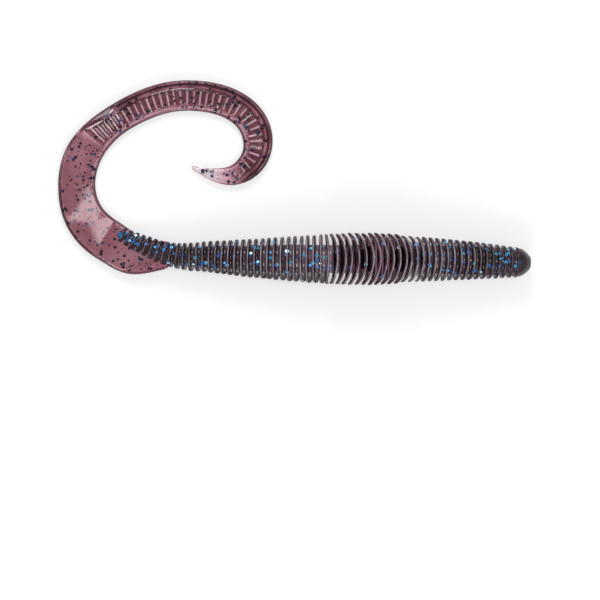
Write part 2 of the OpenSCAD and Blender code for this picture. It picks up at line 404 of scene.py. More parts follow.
@dataclass(frozen=True)
class BodyPlastisol:
    """Soft PVC plastisol, injected thick and dark plum: no light comes through the core, and its
    oiled skin gives soft grey gleams in the grooves. The rings' sides barely mirror, so they stay
    dark at a glancing look. A light grey-mauve line on the crests that face up is a painted
    highlight, and a lighter colour low in the grooves between tall rings is painted light that
    eases the shade there."""

    core: str = "#33252e"
    fin: str = "#4c3c44"
    # The crest colour is a painted highlight, a light grey-mauve line on the crests that face up.
    crest_painted_highlight: str = "#a99fa7"
    # The valley colour is painted light, lifting the core low in the grooves between tall rings.
    valley: str = "#927c8a"
    swirl_mm: float = 3.0
    grain_mm: float = 0.7
    grain_depth_mm: float = 0.05

    def material(self) -> bpy.types.Material:
        """Builds the finish."""
        n = Nodes("plastisol_dark_moulded")
        at = n.add("ShaderNodeTexCoord", out="Object")
        swirl = n.add("ShaderNodeTexNoise", {"Vector": at, "Scale": 1 / (self.swirl_mm * MM), "Detail": 4.0})
        grain = n.add("ShaderNodeTexNoise", {"Vector": at, "Scale": 1 / (self.grain_mm * MM), "Detail": 3.0})
        fin = n.add("ShaderNodeAttribute", out="Fac", attribute_name="fin")
        deep = n.add("ShaderNodeAttribute", out="Fac", attribute_name="deep")
        # Painted light: the core colour lifts toward the valley colour low in the grooves between tall rings.
        low = n.add("ShaderNodeValToRGB", {"Fac": deep}, ((0.0, self.core), (1.0, self.valley)))
        # Painted highlight: the fin colour turns to the light crest colour on the crests that face up.
        high = n.add("ShaderNodeValToRGB", {"Fac": fin}, ((0.45, self.fin), (1.0, self.crest_painted_highlight)))
        on_fin = n.add("ShaderNodeValToRGB", {"Fac": fin}, ((0.0, "#000000"), (0.45, "#ffffff")))
        shade = n.add("ShaderNodeValToRGB", {"Fac": swirl}, ((0.35, "#bdb2bb"), (0.65, "#ffffff")))
        base = n.add("ShaderNodeMix", {"Factor": on_fin, 6: low, 7: high}, out=2, data_type="RGBA")
        colour = n.add("ShaderNodeMix", {"Factor": 1.0, 6: base, 7: shade}, out=2, **MULTIPLY)
        depth = self.grain_depth_mm * MM
        bump = n.add("ShaderNodeBump", {"Strength": 0.25, "Distance": depth, "Height": grain})
        gloss = n.add("ShaderNodeMapRange", {"Value": swirl, "To Min": 0.14, "To Max": 0.26})
        oil = n.add("ShaderNodeMapRange", {"Value": fin, "From Max": 0.3, "To Min": 0.6, "To Max": 0.01})
        shader = n.add(
            "ShaderNodeBsdfPrincipled",
            {
                "Base Color": colour,
                "Roughness": gloss,
                "IOR": 1.45,
                "Specular IOR Level": oil,
                "Normal": bump,
            },
        )
        return n.finish(shader)


@dataclass(frozen=True)
class RimPlastisol:
    """The same plastisol in the thin outer part of the sac's rings, where light comes through:
    smoky at the ends of the sac and rose in its middle. An IOR near 1 keeps these steep faces from
    mirroring the white table."""

    low: str = "#4a3a43"
    middle: str = "#7c636d"
    high: str = "#b78894"
    swirl_mm: float = 2.0

    def material(self) -> bpy.types.Material:
        """Builds the finish."""
        n = Nodes("plastisol_smoky_thin_moulded")
        at = n.add("ShaderNodeTexCoord", out="Object")
        thin = n.add("ShaderNodeAttribute", out="Fac", attribute_name="thin")
        swirl = n.add("ShaderNodeTexNoise", {"Vector": at, "Scale": 1 / (self.swirl_mm * MM), "Detail": 3.0})
        stops = ((0.0, self.low), (0.5, self.middle), (1.0, self.high))
        base = n.add("ShaderNodeValToRGB", {"Fac": thin}, stops)
        shade = n.add("ShaderNodeValToRGB", {"Fac": swirl}, ((0.35, "#d8ccd2"), (0.65, "#ffffff")))
        colour = n.add("ShaderNodeMix", {"Factor": 1.0, 6: base, 7: shade}, out=2, **MULTIPLY)
        shader = n.add(
            "ShaderNodeBsdfPrincipled",
            {"Base Color": colour, "Roughness": 0.2, "IOR": 1.06, "Transmission Weight": 1.0},
        )
        return n.finish(shader)


@dataclass(frozen=True)
class TailPlastisol:
    """The same plastisol as a thin sheet: light goes through it to the table and back, so it is
    rose where it is flat, darker on its thick rim and clear at the tip. A dark line right along
    its edges is painted shade of the rounded edges, and a pale line inside the inner edge and a
    clear streak along the fold are painted highlights."""

    clear: str = "#f8f3f5"
    pale: str = "#e8bcc9"
    web: str = "#b0707f"
    deep: str = "#733544"
    # The darkest stop colours a band on the rim and the painted shade line along the edges.
    edge: str = "#35222a"
    swirl_mm: float = 6.0
    sag_mm: float = 9.0
    sag_depth_mm: float = 0.12

    def material(self) -> bpy.types.Material:
        """Builds the finish."""
        n = Nodes("plastisol_rose_moulded")
        at = n.add("ShaderNodeTexCoord", out="Object")
        tint = n.add("ShaderNodeAttribute", out="Fac", attribute_name="tint")
        swirl = n.add("ShaderNodeTexNoise", {"Vector": at, "Scale": 1 / (self.swirl_mm * MM), "Detail": 3.0})
        sag = n.add("ShaderNodeTexNoise", {"Vector": at, "Scale": 1 / (self.sag_mm * MM), "Detail": 0.0})
        stops = ((0.0, self.clear), (0.25, self.pale), (0.5, self.web), (0.75, self.deep), (1.0, self.edge))
        base = n.add("ShaderNodeValToRGB", {"Fac": tint}, stops)
        shade = n.add("ShaderNodeValToRGB", {"Fac": swirl}, ((0.3, "#ece6e9"), (0.7, "#ffffff")))
        colour = n.add("ShaderNodeMix", {"Factor": 1.0, 6: base, 7: shade}, out=2, **MULTIPLY)
        bump = n.add("ShaderNodeBump", {"Strength": 0.15, "Distance": self.sag_depth_mm * MM, "Height": sag})
        shader = n.add(
            "ShaderNodeBsdfPrincipled",
            {
                "Base Color": colour,
                "Roughness": 0.04,
                "IOR": 1.45,
                "Transmission Weight": 1.0,
                "Normal": bump,
            },
        )
        return n.finish(shader)


@dataclass(frozen=True)
class FoilFlake:
    """Metallised polyester film cut into hexagons, lacquered blue: each flake takes a random tone
    from navy through blue to cyan, and the top of the range is painted nearly white, a painted
    glint."""

    dark: str = "#23468c"
    middle: str = "#2f82c8"
    light: str = "#3cc0ee"
    painted_glint: str = "#e2fbff"

    def material(self) -> bpy.types.Material:
        """Builds the finish."""
        n = Nodes("foil_flake_blue_lacquered")
        tone = n.add("ShaderNodeAttribute", out="Fac", attribute_name="flake")
        # The last stop is a painted glint: flakes at the top of the random tone are nearly white.
        stops = ((0.0, self.dark), (0.55, self.middle), (0.85, self.light), (1.0, self.painted_glint))
        base = n.add("ShaderNodeValToRGB", {"Fac": tone}, stops)
        shader = n.add("ShaderNodeBsdfPrincipled", {"Base Color": base, "Metallic": 0.4, "Roughness": 0.35})
        return n.finish(shader)


@dataclass(frozen=True)
class BlackFlake:
    """Black-dyed polyester film in a finer cut: it shows as deep plum specks."""

    dark: str = "#0a060c"
    light: str = "#2a1430"

    def material(self) -> bpy.types.Material:
        """Builds the finish."""
        n = Nodes("film_flake_black_dyed")
        tone = n.add("ShaderNodeAttribute", out="Fac", attribute_name="flake")
        stops = ((0.0, self.dark), (1.0, self.light))
        base = n.add("ShaderNodeValToRGB", {"Fac": tone}, stops)
        shader = n.add("ShaderNodeBsdfPrincipled", {"Base Color": base, "Roughness": 0.45})
        return n.finish(shader)


@dataclass(frozen=True)
class StudioFloor:
    """Opal acrylic table lit softly from below: it gives little shadow, and a thin part on it
    shows its colour."""

    tone: str = "#d0d0d0"
    grain: str = "#cccccc"
    grain_mm: float = 4.0
    lit: float = 0.45

    def material(self) -> bpy.types.Material:
        """Builds the finish, with a faint unevenness."""
        n = Nodes("acrylic_opal_matt")
        at = n.add("ShaderNodeTexCoord", out="Object")
        cloud = n.add("ShaderNodeTexNoise", {"Vector": at, "Scale": 1 / (self.grain_mm * MM), "Detail": 3.0})
        stops = ((0.0, self.grain), (1.0, self.tone))
        base = n.add("ShaderNodeValToRGB", {"Fac": cloud}, stops)
        shader = n.add(
            "ShaderNodeBsdfPrincipled",
            {
                "Base Color": base,
                "Roughness": 0.9,
                "Emission Color": (1, 1, 1, 1),
                "Emission Strength": self.lit,
            },
        )
        return n.finish(shader)


def dress(
    piece: bpy.types.Object
) -> None:
    """Bakes the piece's placement into its points.

    Args:
        piece: the finished object.
    """
    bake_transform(piece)


@dataclass
class RingedBody:
    """The ringed body: a core with thin rings, from the nose flat to the last ring on the root."""

    chain: Chain
    groups: tuple[int, ...] = (6, 4, 4, 4, 5, 5, 4, 4, 4, 4, 4, 5)
    nose_l: float = 3.0
    nose_flat_r: float = 1.7
    nose_fullness: float = 1.6
    core_r: float = 3.9
    core_end_r: float = 2.55
    ring_nose_r: float = 4.15
    ring_front_r: float = 6.35
    ring_sac_r: float = 7.15
    ring_rear_r: float = 6.9
    ring_end_r: float = 3.6
    root_rings: int = 9
    root_ring_r: float = 2.1
    root_core_r: float = 0.9
    pitch: float = 1.79
    side_swell: float = 0.55
    around: int = 112
    sac_group: int = 4
    rear_group: int = 6
    taper_group: int = 8
    sac_rings: tuple[int, ...] = (14, 19, 27, 30)
    rim_band: tuple[float, float] = (0.3, 0.89)
    table_drop: float = 1.0
    ball_share: float = 0.96
    ball_turns: tuple[int, ...] = (0, 18, 36, 54, 72, 84)
    flakes_per_ring: float = 7.0
    flake_t: float = 0.05

    def __post_init__(self) -> None:
        """Lays the line of the body, on to where the core dies out over the tail's root."""
        hinges = self.chain.hinges
        n = len(self.groups)
        end, after = hinges[n - 1], hinges[n]
        run = after - end
        level = np.array([run[1], -run[0], 0]) / np.hypot(run[0], run[1])
        stop = end + 0.84 * run + 2.5 * level + [0, 0, -0.1]
        middle = (end + stop) / 2 - 0.55 * level
        self.line = Spine(np.array([self.chain.nose(), *hinges[:n], middle, stop]))
        self.starts = np.concatenate([[0], np.cumsum(self.groups)])
        self.total = int(self.starts[-1])
        last = self.total + self.root_rings - 0.5
        self.ring_knots = np.concatenate([[-0.5], self.starts[1:] - 0.5, [last]])
        self.line_knots = np.concatenate([[self.nose_l], self.line.knots[1 : n + 1], [self.line.length]])
        rings = self.total + self.root_rings + 2
        self.jitter = np.random.default_rng(SEED).uniform(-1, 1, (rings, 4))
        self.angle = np.arange(self.around) * 2 * math.pi / self.around

    def along(self, k: np.ndarray) -> np.ndarray:
        """Distance along the line at ring position k, straight between the hinges' own values."""
        return np.interp(k, self.ring_knots, self.line_knots)

    def ring_radius(self, k: np.ndarray) -> np.ndarray:
        """Outer radius of the rings: a bowed rise, a crowned sac, a fall, and the root's fade.

        Args:
            k: ring positions.

        Returns:
            Radii in mm.
        """
        sac, rear = self.starts[self.sac_group], self.starts[self.rear_group]
        u = np.clip(k / (sac - 1), 0, 1)
        front = self.ring_nose_r + (self.ring_front_r - self.ring_nose_r) * (u + 0.5 * u * (1 - u))
        v = np.clip((k - sac) / (rear - sac - 1), 0, 1)
        middle = self.ring_rear_r + (self.ring_sac_r - self.ring_rear_r) * (1 - (2 * v - 1) ** 2)
        w = np.clip((k - rear) / (self.total - 1 - rear), 0, 1)
        back = self.ring_rear_r + (self.ring_end_r - self.ring_rear_r) * w**1.15
        x = np.clip((k - self.total + 1) / self.root_rings, 0, 1)
        fade = self.ring_end_r + (self.root_ring_r - self.ring_end_r) * x
        behind = np.where(k < self.total - 0.5, back, fade)
        return np.where(k < sac - 0.5, front, np.where(k < rear - 0.5, middle, behind))

    def core_radius(self, k: np.ndarray) -> np.ndarray:
        """Radius of the core: level, then a taper over the rear's second half and the root.

        Args:
            k: ring positions.

        Returns:
            Radii in mm.
        """
        start = self.starts[self.taper_group]
        taper = np.clip((k - start) / (self.total - start), 0, 1)
        root = np.clip((k - self.total + 0.5) / self.root_rings, 0, 1)
        radius = self.core_r + (self.core_end_r - self.core_r) * taper
        return radius + (self.root_core_r - self.core_end_r) * root

    def on_sac(self, k: np.ndarray) -> np.ndarray:
        """1 on the sac's rings, easing to 0 on both sides of it."""
        start, full, fading, end = self.sac_rings
        return smooth(start, full, k) * (1 - smooth(fading, end, k))

    def lean(self, k: np.ndarray, angle: np.ndarray) -> np.ndarray:
        """How far a ring's rim lies toward the nose, as a share of its height over the core.

        The rims of the front and the sac are swept back at their sides and forward on top and
        below, most on the sac; those of the rear stand straight and splay forward where their
        left foot rests.

        Args:
            k: ring positions.
            angle: angles round the line.

        Returns:
            Shares of the height.
        """
        sac, front = self.on_sac(k), 1 - smooth(27, 31, k)
        back = 0.34 * front + 0.08 * sac
        over = 0.12 * front + 0.36 * sac
        foot = 0.34 * (1 - front) * smooth(0.3, -0.5, np.cos(angle))
        up = np.sin(angle)
        under = (0.30 * front + 0.32 * sac) * np.clip(-up, 0, 1) ** 0.8
        return -back + (back + over) * np.clip(up, 0, 1) ** 1.4 + under + foot * smooth(0.5, -0.6, up)

    def ring_profile(self) -> tuple[np.ndarray, np.ndarray]:
        """One ring's outline over its pitch: place in mm from its middle, and share of its height.

        It rises from the groove through a small fillet, thins toward the rim and rounds over.
        """
        x = np.array([0.60, 0.52, 0.465, 0.43, 0.405, 0.375, 0.345, 0.32, 0.30, 0.275, 0.24, 0.18, 0.09])
        e = np.array([0.0, 0.012, 0.04, 0.10, 0.20, 0.36, 0.52, 0.66, 0.78, 0.88, 0.945, 0.98, 0.996])
        return np.concatenate([-x, [0], x[::-1]]), np.concatenate([e, [1], e[::-1]])

    def surface(self, k: np.ndarray, shift: np.ndarray, height: np.ndarray, angle: np.ndarray) -> np.ndarray:
        """Points of the ringed surface.

        A point stands on the line at its ring plus its shift, at the core's radius plus its share
        of the ring's height. It slides along the line as its ring leans, and away from the ring's
        middle at the sides, where the rim is thicker. It stops at the table.

        Args:
            k: ring number of each row.
            shift: mm toward the tail from the ring's middle.
            height: share of the ring's height.
            angle: angles round the line; 0 is the right side, a quarter turn is up.

        Returns:
            Points in mm, as rows by angles.
        """
        spot = k + shift / self.pitch
        core, outer = self.core_radius(spot), self.ring_radius(k)
        rise = np.maximum(outer - core, 0.05)
        point, side, up, ahead = self.line.frames(self.along(spot))
        jig = self.jitter[k.astype(int)]
        round_line = angle[None, :]
        ripple = 1 + 0.012 * np.sin(3 * round_line + 6 * jig[:, :1]) + 0.01 * jig[:, 1:2]
        radius = core[:, None] + (rise * height)[:, None] * (ripple - 0.02 * jig[:, 2:3])
        fade = np.clip((k - self.total + 0.5) / self.root_rings, 0, 1)[:, None]
        flat = 1 - 0.45 * fade * height[:, None]
        slide = (rise * height**1.3)[:, None] * (self.lean(k[:, None], round_line) + 0.05 * jig[:, 3:4])
        slide = slide - self.side_swell * (shift * height)[:, None] * np.cos(round_line) ** 2
        rising = flat * np.sin(round_line)
        across = np.cos(round_line)[..., None] * side[:, None] + rising[..., None] * up[:, None]
        points = point[:, None] + radius[..., None] * across - slide[..., None] * ahead[:, None]
        floor = self.chain.hinges[-1][2] - self.table_drop
        points[..., 2] = floor + np.logaddexp(0, (points[..., 2] - floor) * 9) / 9
        return points

    def rows(self, first: int, last: int) -> tuple[np.ndarray, np.ndarray, np.ndarray]:
        """Rows of the rings from first up to last, ending in the groove after it.

        Args:
            first: first ring.
            last: one past the last ring.

        Returns:
            Ring number, shift and height share of each row.
        """
        x, e = self.ring_profile()
        k = np.repeat(np.arange(first, last, dtype=float), len(x) + 1)
        shift = np.tile(np.concatenate([[-self.pitch / 2], x]), last - first)
        height = np.tile(np.concatenate([[0.0], e]), last - first)
        return np.append(k, last - 1), np.append(shift, self.pitch / 2), np.append(height, 0.0)

    def circle(self, side: np.ndarray, up: np.ndarray) -> np.ndarray:
        """Unit steps out from the line at every angle round it.

        Args:
            side: side directions, one a row.
            up: up directions, one a row.

        Returns:
            Steps, as rows by angles.
        """
        turn = self.angle[None, :, None]
        return np.cos(turn) * side[:, None] + np.sin(turn) * up[:, None]

    def nose_rows(self) -> np.ndarray:
        """The nose dome: its radius grows as 1 - (1 - u)^fullness from the flat's to the core's.

        Returns:
            Points in mm, as rows by angles.
        """
        place = 0.06 + (self.nose_l - 0.26) * np.linspace(0, 1, 18) ** 1.3
        grown = 1 - (1 - place / self.nose_l) ** self.nose_fullness
        radius = self.nose_flat_r + (self.core_r - self.nose_flat_r) * grown
        lip_r = np.array([0.55, 0.8, 0.93]) * self.nose_flat_r
        lip_s = np.array([0.0, 0.0, 0.02])
        radius, place = np.concatenate([lip_r, radius]), np.concatenate([lip_s, place])
        point, side, up, _ = self.line.frames(place)
        return point[:, None] + radius[:, None, None] * self.circle(side, up)

    def build(self, finish: bpy.types.Material, rim: bpy.types.Material, flake: bpy.types.Material) -> None:
        """Builds each body's stretch of rings, nose first, and the flakes set in it.

        Args:
            finish: the body's material.
            rim: the material of the rings' thin outer half.
            flake: the blue flakes' material.
        """
        starts = [*(int(s) for s in self.starts), self.total + self.root_rings]
        for i, (first, last) in enumerate(zip(starts, starts[1:])):
            body = self.chain.bodies[i]
            piece = self.skin(first, last).build(f"rings_{body}", finish, rim)
            if last <= self.total:
                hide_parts(body)
            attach(piece, body)
            self.set_flakes(i, first, last, flake)
            log.info("built %s, %d points", piece.name, len(piece.data.vertices))

    def dome_rows(self, last: int) -> np.ndarray:
        """The core's round end, a half ball about the joint that stays inside the next stretch
        and closes the gap between the two when the joint bends.

        Args:
            last: one past the last ring before the joint.

        Returns:
            Points in mm, as rows by angles.
        """
        end = np.array([last - 0.5])
        point, side, up, ahead = self.line.frames(self.along(end))
        turn = np.radians(self.ball_turns)[:, None, None]
        radius = self.ball_share * self.core_radius(end)[0]
        out = np.cos(turn) * self.circle(side, up) + np.sin(turn) * ahead[:, None]
        return point[:, None] + radius * out

    def skin(self, first: int, last: int) -> Mesh:
        """The skin over a run of rings, closed by a cap at each end.

        The nose dome comes before the first ring of all, and the core's round end after the rings
        that have a joint behind them.

        Args:
            first: its first ring.
            last: one past its last ring.

        Returns:
            The mesh, whose thin outer faces take the second finish.
        """
        k, shift, height = self.rows(first, last)
        points = self.surface(k, shift, height, self.angle)
        rise = self.ring_radius(k) - self.core_radius(k)
        side = np.abs(np.cos(self.angle))
        # Painted highlight mask: the crests that face up take the light crest colour, less toward the sides
        # and not at the very sides.
        top = smooth(-0.1, 0.35, np.sin(self.angle)) * (1 - 0.45 * smooth(0.5, 0.85, side))
        top = top * (1 - smooth(0.95, 0.995, side))
        fin = (0.45 * smooth(0, 0.6, height) * smooth(0.2, 2.2, rise))[:, None]
        fin = fin + (0.55 * smooth(0.975, 0.998, height))[:, None] * top
        # Painted light mask: low in the grooves between tall rings the core colour is lifted, easing the
        # shade there.
        deep = np.repeat(((1 - smooth(0.3, 0.8, height)) * smooth(1.4, 3.0, rise))[:, None], self.around, 1)
        rosy = self.on_sac(k)
        thin = np.repeat((0.3 + 0.7 * rosy)[:, None], self.around, 1)
        front = self.nose_rows() if first == 0 else points[:0]
        back = self.dome_rows(last) if last <= self.total else points[:0]
        points = np.concatenate([front, points, back])
        blank = (len(front), len(back))
        height, rosy = (np.pad(value, blank) for value in (height, rosy))
        fin, thin, deep = (np.pad(value, (blank, (0, 0))) for value in (fin, thin, deep))
        rows = len(points)
        ring = np.arange(self.around)
        caps = [ring[::-1][None], (ring + (rows - 1) * self.around)[None]]
        lower, upper = np.minimum(height[1:], height[:-1]), np.maximum(height[1:], height[:-1])
        outer = (lower > self.rim_band[0]) & (upper < self.rim_band[1])
        which = np.append(np.repeat(outer & (rosy[1:] > 0.1), self.around), [False, False])
        values = {"fin": fin.reshape(-1), "thin": thin.reshape(-1), "deep": deep.reshape(-1)}
        return Mesh(points.reshape(-1, 3), [tube_faces(rows, self.around), *caps], values, which=which)

    def set_flakes(self, i: int, first: int, last: int, flake: bpy.types.Material) -> None:
        """Sets blue flakes in the grooves and across the crests of stretch i.

        Their normals are the cross product of two short steps along the surface.

        Args:
            i: which stretch.
            first: its first ring.
            last: one past its last ring.
            flake: their material.
        """
        rng = np.random.default_rng(SEED + i)
        count = int(self.flakes_per_ring * (last - first))
        k = rng.integers(first, last, count).astype(float)
        on_core = rng.uniform(0, 1, count) < 0.5
        shift = np.where(on_core, self.pitch / 2, 0) + rng.uniform(-0.12, 0.12, count)
        height = np.where(on_core, 0.0, rng.uniform(0.9, 0.98, count))
        angle = rng.uniform(0, 2 * math.pi, count)
        here = self.each(k, shift, height, angle)
        step_a = self.each(k, shift, height, angle + 0.05) - here
        step_s = self.each(k, shift + 0.05, height, angle) - here
        normal = np.cross(step_a, step_s)
        normal /= np.linalg.norm(normal, axis=1, keepdims=True)
        centre = self.line.at(self.along(k + shift / self.pitch))[0]
        outward = np.sign(np.sum(normal * (here - centre), axis=1, keepdims=True))
        normal = normal * np.where(outward == 0, 1, outward) + rng.normal(0, 0.12, (count, 3))
        normal /= np.linalg.norm(normal, axis=1, keepdims=True)
        size = rng.uniform(0.75, 1.1, count)
        mesh = flakes_mesh(here + normal * 0.02, normal, size, self.flake_t, rng.uniform(0, 6.28, count))
        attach(mesh.build(f"blue_flakes_{self.chain.bodies[i]}", flake), self.chain.bodies[i])

    def each(self, k: np.ndarray, shift: np.ndarray, height: np.ndarray, angle: np.ndarray) -> np.ndarray:
        """One surface point for each entry: the diagonal of the surface's grid.

        Args:
            k: ring number of each point.
            shift: mm toward the tail from the ring's middle.
            height: share of the ring's height.
            angle: angle round the line.

        Returns:
            Points in mm, one a row.
        """
        grid = self.surface(k, shift, height, angle)
        pick = np.arange(len(k))
        return grid[pick, pick]


@dataclass
class RibbonTail:
    """The flat tail: a paddle, a ribbed ribbon with a thick outer rim, and a curled clear tip."""

    chain: Chain
    first: int
    root_w: float = 7.1
    root_bulge: float = 1.2
    paddle_w: float = 11.9
    waist_w: float = 10.3
    ribbon_w: float = 8.5
    tip_w: float = 0.9
    web_t: float = 1.2
    rim_t: float = 2.0
    rim_w: float = 2.5
    bead_w: float = 0.6
    bead_t: float = 1.6
    rib_pitch: float = 1.84
    rib_h: float = 0.25
    smooth_w: float = 1.9
    fold_at: tuple[float, ...] = (-2.5, -0.3, 1.5, 3.7, 6.0, 8.1, 8.8, 9.3)
    fold_w: tuple[float, ...] = (0.6, 1.5, 2.2, 2.6, 2.5, 1.8, 1.35, 2.5)
    round_w: float = 0.7
    root_round: float = 2.5
    tip_round: float = 0.5
    across: int = 88
    fine_step: float = 0.14
    plain_step: float = 0.2
    blue_per_mm2: float = 0.06
    black_per_mm2: float = 0.42
    flake_t: float = 0.04

    def __post_init__(self) -> None:
        """Lays the tail's middle line through its joints."""
        points = [*self.chain.hinges[self.first - 1 :], self.chain.tail_end()]
        self.line = Spine(np.array(points))
        self.knots = self.line.knots
        self.ribs_from = self.knots[5] - 3.5
        self.ribs_to = self.knots[14] + 1.0

    def half_width(self, s: np.ndarray) -> np.ndarray:
        """Half the width against the share of the length, eased between its stations.

        Args:
            s: distances in mm.

        Returns:
            Half widths in mm.
        """
        u = np.asarray(s, float) / self.line.length
        mix = self.root_w + (self.paddle_w - self.root_w) * 0.4
        place = [0, 0.05, 0.1, 0.17, 0.28, 0.35, 0.45, 0.8, 0.87, 0.94, 0.985, 1]
        width = [self.root_w, mix, self.paddle_w, self.paddle_w, self.waist_w, self.waist_w]
        width += [self.ribbon_w, self.ribbon_w, self.ribbon_w * 0.84, self.ribbon_w * 0.5]
        width += [self.tip_w * 1.5, self.tip_w * 0.5]
        spread = np.linspace(-0.02, 0.02, 9)
        return np.mean([np.interp(np.clip(u + d, 0, 1), place, width) for d in spread], axis=0) / 2

    def shift(self, s: np.ndarray) -> np.ndarray:
        """How far the root bulges to its outer side: a squared sine between its two joints."""
        return -self.root_bulge * np.sin(math.pi * np.clip(s / self.knots[1], 0, 1)) ** 2

    def rim_edge(self, s: np.ndarray) -> np.ndarray:
        """Width of the outer rim: the paddle's bead, a fold that swells and pinches, then the
        ribbon's own rim, and the bead again toward the tip."""
        fade = smooth(self.ribs_to - 5, self.ribs_to, s)
        return np.interp(s - self.ribs_from, self.fold_at, self.fold_w) * (1 - fade) + self.bead_w * fade

    def section(self, s: np.ndarray) -> tuple[np.ndarray, np.ndarray, np.ndarray]:
        """The cross sections at distances along the tail.

        Across a section the samples crowd toward both edges. The half thickness is the web's,
        raised to the outer rim's over its width, to the bead's at the inner edge, and by the
        ribs between them, and rounds off to nothing at each edge like a quarter circle.

        Args:
            s: distances in mm.

        Returns:
            Offsets from the middle line, half thicknesses and tints, as rows by samples.
        """
        s = np.asarray(s, float)[:, None]
        half = self.half_width(s)
        t = np.linspace(-1, 1, self.across)[None, :]
        v = half * (0.45 * t + 0.55 * np.sin(t * math.pi / 2))
        outer, inner = v + half, half - v
        edge = np.minimum(outer, inner)
        rim_w = self.rim_edge(s)
        ending = 1 - smooth(self.ribs_to - 5, self.ribs_to, s)
        ribbed = smooth(self.ribs_from - 0.5, self.ribs_from + 1.0, s) * ending
        wave = np.cos(2 * math.pi * (s - self.ribs_from) / self.rib_pitch + 0.5 * waves(s, 17, 3))
        rib = smooth(-0.5, 0.1, wave)
        band = smooth(rim_w + 0.1, rim_w + 0.35, outer)
        band = band * smooth(self.smooth_w - 0.3, self.smooth_w + 0.25, inner + 0.3 * waves(s, 4, 5)) * ribbed
        grown = self.bead_w + (self.rim_w - self.bead_w) * smooth(-3, 9, s - self.ribs_from)
        grown = np.minimum(grown, np.maximum(rim_w, self.bead_w) + 1.2)
        on_rim = 1 - smooth(grown - 0.4, grown + 0.4, outer)
        on_bead = (1 - smooth(self.bead_w - 0.1, self.bead_w + 0.25, inner)) * (1 - on_rim)
        web = self.web_t / 2
        thick = web + (self.rim_t / 2 - web) * on_rim + (self.bead_t / 2 - web) * on_bead
        thick = thick + self.rib_h * rib * band
        thick = thick * (1 - 0.45 * smooth(self.knots[13], self.line.length, s))
        thick = thick * rounded(edge / self.round_w)
        return v + self.shift(s), thick, self.tint(s, outer, inner, ribbed, wave, band)

    def tint(
        self,
        s: np.ndarray,
        outer: np.ndarray,
        inner: np.ndarray,
        ribbed: np.ndarray,
        wave: np.ndarray,
        band: np.ndarray,
    ) -> np.ndarray:
        """How deep the colour is, from 0 clear to 1 dark.

        Every line in it is a bell curve over the distance from an edge or a wall. The dark line right
        along the edges is painted shade, and the pale line inside the inner edge and the clear streak
        along the fold are painted highlights.

        Args:
            s: distances along.
            outer: distances from the outer edge.
            inner: distances from the inner edge.
            ribbed: 1 where the ribbon has its rim and ribs.
            wave: the ribs' wave, from -1 between two ribs to 1 on a rib.
            band: 1 where the ribs are.

        Returns:
            The tints.
        """
        rim_w = self.rim_edge(s)
        tint = 0.47 + 0.05 * waves(s, 30, 8) + 0.03 * waves(outer + 0.3 * s, 9, 9)
        across = outer * self.rim_w / rim_w
        rim = 0.22 - 0.3 * bell(across, 0.62, 0.2) + 0.4 * bell(across, 1.1, 0.17)
        rim = rim - 0.3 * bell(across, 1.85, 0.18)
        on_rim = (1 - smooth(rim_w - 0.1, rim_w + 0.1, outer)) * ribbed
        tint = tint + on_rim * (rim + 0.1 * waves(s, 8, 11)) - 0.1 * ribbed * bell(inner, 1.2, 0.35)
        valley = 1 - smooth(-0.35, -0.1, wave)
        light = 0.26 + 0.08 * waves(s, 5, 12)
        tint = tint + band * (0.2 * (1 - valley) - light * valley + 0.3 * bell(wave, 0.1, 0.25))
        tint = tint + 0.45 * ribbed * bell(outer, rim_w + 0.12, 0.2)
        fold = smooth(-0.5, 0.6, s - self.ribs_from) * (1 - smooth(8.2, 8.9, s - self.ribs_from))
        # Painted highlight: a clear streak along the fold, just inside the rim's wall.
        painted_fold_streak = fold * bell(outer, rim_w - 0.3, 0.26)
        # A pale line just inside the inner edge is a painted highlight, and the dark line right along both
        # edges is painted shade of the rounded edges.
        tint = tint - 0.25 * bell(inner, 0.85, 0.22) + 0.75 * bell(np.minimum(outer, inner), 0.05, 0.36)
        tint = tint * (1 - painted_fold_streak)
        pale = smooth(self.knots[13] + 1, self.line.length - 5, s)
        # Toward the clear tip the dark line along the edges is painted shade too.
        tint = tint * (1 - 0.88 * pale) + 0.3 * bell(np.minimum(outer, inner), 0, 0.22) * pale
        return np.clip(tint, 0, 1)

    def surface(self, s: np.ndarray, v: np.ndarray, w: np.ndarray) -> np.ndarray:
        """Points of the tail: the middle line at s, moved v toward the inner side and w up.

        Args:
            s: distances along, one a row.
            v: offsets across, rows by samples.
            w: heights, rows by samples.

        Returns:
            Points in mm.
        """
        point, side, up, _ = self.line.frames(s)
        return point[:, None] + v[..., None] * side[:, None] + w[..., None] * up[:, None]

    def skin(self, low: float, high: float, first: bool, last: bool) -> Mesh:
        """The skin between two distances, a tube of top and bottom.

        Args:
            low: where it starts, in mm.
            high: where it ends, in mm.
            first: whether it starts the tail, which closes it there.
            last: whether it ends the tail, which closes it there.

        Returns:
            The mesh.
        """
        ribbed = high > self.ribs_from and low < self.ribs_to
        step = self.fine_step if ribbed else self.plain_step
        s = np.linspace(low, high, int((high - low) / step) + 2)
        v, thick, tint = self.section(s)
        ends = np.ones_like(s)
        if first:
            ends = ends * rounded((s - low + 0.02) / self.root_round)
        if last:
            ends = ends * rounded((high - s + 0.01) / self.tip_round)
        v, thick = v * (0.4 + 0.6 * ends[:, None] if first else ends[:, None]), thick * ends[:, None]
        top = self.surface(s, v, thick)
        bottom = self.surface(s, v, -thick)
        points = np.concatenate([top, bottom[:, -2:0:-1]], axis=1)
        tints = np.concatenate([tint, tint[:, -2:0:-1]], axis=1)
        rows, around = points.shape[:2]
        faces = [tube_faces(rows, around)]
        if first:
            faces.append(np.arange(around)[::-1][None])
        if last:
            faces.append((np.arange(around) + (rows - 1) * around)[None])
        return Mesh(points.reshape(-1, 3), faces, {"tint": tints.reshape(-1)})

